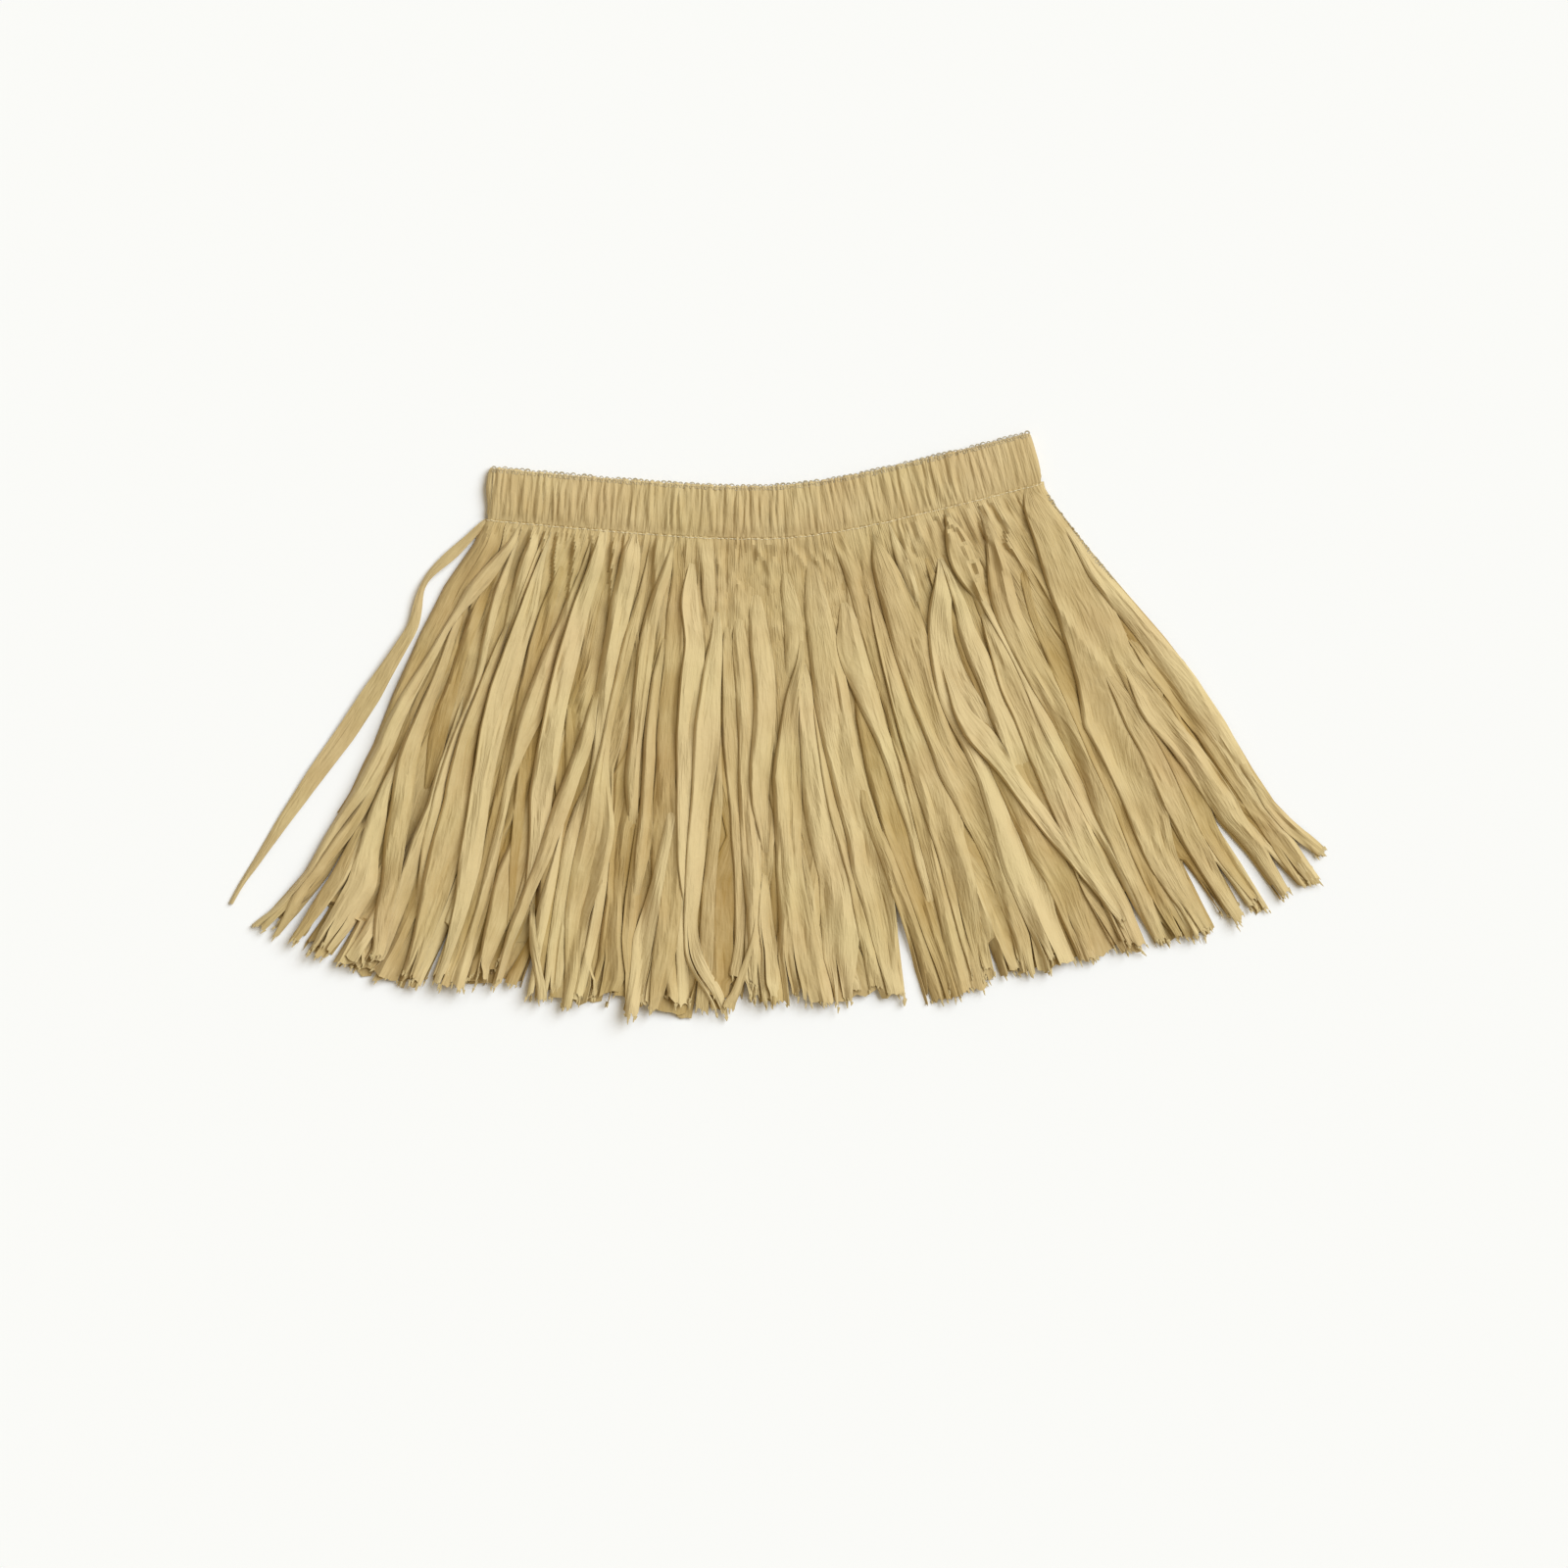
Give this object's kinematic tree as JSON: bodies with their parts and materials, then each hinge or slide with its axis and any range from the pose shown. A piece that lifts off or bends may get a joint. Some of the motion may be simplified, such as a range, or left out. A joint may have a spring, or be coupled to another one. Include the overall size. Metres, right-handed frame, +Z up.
{
  "type": "grass skirt",
  "caption": "Elastic-waist skirt of crinkled straw-coloured cloth, slit below a gathered band into a fringe of long strips, laid flat with the front panel on the back panel.",
  "frame": {"origin": "middle of the footprint, on the surface that the skirt lies on", "axes": "+Z up from that surface, +Y towards the waistband, +X to the right as the front panel is seen from above"},
  "size_m": [0.8314, 0.4432, 0.0119],
  "materials": {
    "band_cloth": "matt crinkled non-woven cloth, gathered on elastic",
    "skirt_cloth": "matt crinkled non-woven cloth with a fine lengthwise grain",
    "strip_cloth": "matt crinkled non-woven cloth, cut into strips with frayed tips"
  },
  "bodies": {
    "root": {"waistband_front": "band_cloth", "waistband_back": "band_cloth", "skirt_front": "skirt_cloth", "skirt_back": "skirt_cloth", "fringe_front": "strip_cloth", "fringe_back": "strip_cloth", "loose_strip": "strip_cloth"}
  },
  "joints": []
}
